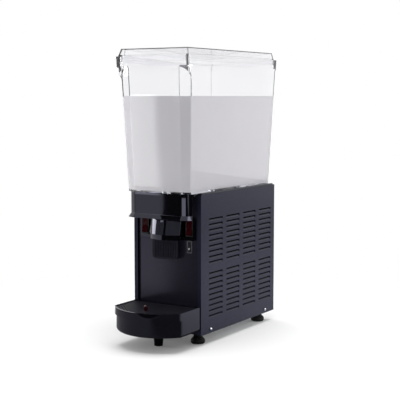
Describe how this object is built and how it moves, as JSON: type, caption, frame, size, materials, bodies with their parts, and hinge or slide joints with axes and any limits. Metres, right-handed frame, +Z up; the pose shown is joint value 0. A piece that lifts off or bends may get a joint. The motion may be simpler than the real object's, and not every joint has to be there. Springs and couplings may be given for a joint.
{
  "type": "cold drink dispenser",
  "caption": "Countertop cold drink dispenser: clear tapered tank with lid on a louvred black cabinet, push tap under a hood, rocker switches and a bow-fronted drip tray with grille.",
  "frame": {"origin": "middle of the footprint on the counter, under the feet", "axes": "+Z up, front with tap and tray towards -Y, +X to the right seen from the front"},
  "size_m": [0.2016, 0.491, 0.6948],
  "materials": {
    "black_paint": "satin powder coat",
    "zinc_sheet": "galvanised",
    "black_plastic": "moulded, semi-gloss",
    "switch_black": "matt",
    "switch_grey": "matt",
    "red_plastic": "translucent red",
    "clear_plastic": "clear polycarbonate",
    "rubber": "matt",
    "stainless": "satin stainless",
    "screw_steel": "bright zinc",
    "white_plastic": "moulded",
    "motor_can": "grey",
    "compressor_black": "black enamel",
    "fin_aluminium": "mill",
    "drier_copper": "copper"
  },
  "bodies": {
    "cabinet": {"chassis": "zinc_sheet", "left_side_panel": "black_paint", "right_side_panel": "black_paint", "front_panel": "black_paint", "rear_panel": "black_paint", "top_deck": "black_plastic", "side_screws": "screw_steel", "foot_left_front": "rubber", "foot_left_rear": "rubber", "foot_right_front": "rubber", "foot_right_rear": "rubber", "switch_plate": "black_plastic", "left_switch_housing": "switch_black", "right_switch_housing": "switch_black", "main_switch_housing": "switch_grey", "tap_body": "black_plastic", "tap_pin": "stainless", "nozzle_seal": "rubber", "evaporator": "stainless", "tank_gasket": "rubber", "gear_motor": "motor_can", "compressor": "compressor_black", "compressor_grommets": "rubber", "condenser": "fin_aluminium", "fan_shroud": "zinc_sheet", "fan_bracket": "zinc_sheet", "fan_motor": "motor_can", "filter_drier": "drier_copper", "thermostat": "white_plastic", "power_inlet": "switch_black"},
    "tank": {"tank": "clear_plastic"},
    "lid": {"lid": "clear_plastic"},
    "tap_lever": {"tap_lever": "black_plastic"},
    "tap_plunger": {"tap_plunger": "white_plastic"},
    "left_rocker": {"left_rocker": "red_plastic"},
    "right_rocker": {"right_rocker": "red_plastic"},
    "main_rocker": {"main_rocker": "switch_black"},
    "drip_tray": {"drip_tray": "black_plastic", "tray_foot": "black_plastic"},
    "drip_grille": {"drip_grille": "black_plastic"},
    "tray_float": {"tray_float": "red_plastic"},
    "mixer": {"mixer_shaft": "stainless", "mixing_paddle": "white_plastic"},
    "fan": {"fan_blade": "fin_aluminium"}
  },
  "joints": [
    {"name": "tank_lift", "type": "slide", "parent": "cabinet", "child": "tank", "axis": [0, 0, 1], "range_m": [0, 0.15]},
    {"name": "lid_lift", "type": "slide", "parent": "tank", "child": "lid", "axis": [0, 0, 1], "range_m": [0, 0.08]},
    {"name": "tap_lever_push", "type": "hinge", "parent": "cabinet", "child": "tap_lever", "pos_m": [0, -0.121, 0.255], "axis": [1, 0, 0], "range_deg": [0, 10], "stiffness_Nm_per_rad": 1.2, "springref_deg": -6.88},
    {"name": "tap_plunger_lift", "type": "slide", "parent": "cabinet", "child": "tap_plunger", "axis": [0, 0, 1], "range_m": [0, 0.0042]},
    {"name": "left_rocker_press", "type": "hinge", "parent": "cabinet", "child": "left_rocker", "pos_m": [-0.0625, -0.1135, 0.279], "axis": [1, 0, 0], "range_deg": [0, 16]},
    {"name": "right_rocker_press", "type": "hinge", "parent": "cabinet", "child": "right_rocker", "pos_m": [0.0625, -0.1135, 0.279], "axis": [1, 0, 0], "range_deg": [0, 16]},
    {"name": "main_rocker_press", "type": "hinge", "parent": "cabinet", "child": "main_rocker", "pos_m": [0.06, -0.1085, 0.2335], "axis": [1, 0, 0], "range_deg": [0, 16]},
    {"name": "drip_tray_pull", "type": "slide", "parent": "cabinet", "child": "drip_tray", "axis": [0, -1, 0], "range_m": [0, 0.06]},
    {"name": "drip_grille_lift", "type": "slide", "parent": "drip_tray", "child": "drip_grille", "axis": [0, 0, 1], "range_m": [0, 0.04]},
    {"name": "tray_float_rise", "type": "slide", "parent": "drip_tray", "child": "tray_float", "axis": [0, 0, 1], "range_m": [0, 0.008]},
    {"name": "mixer_spin", "type": "hinge", "parent": "cabinet", "child": "mixer", "pos_m": [0, 0.0605, 0.42], "axis": [0, 0, 1], "continuous": true},
    {"name": "fan_spin", "type": "hinge", "parent": "cabinet", "child": "fan", "pos_m": [0, -0.02, 0.1025], "axis": [0, 1, 0], "continuous": true}
  ],
  "couplings": [
    {"joint": "tap_plunger_lift", "follows": "tap_lever_push", "m_per_rad": 0.022}
  ]
}
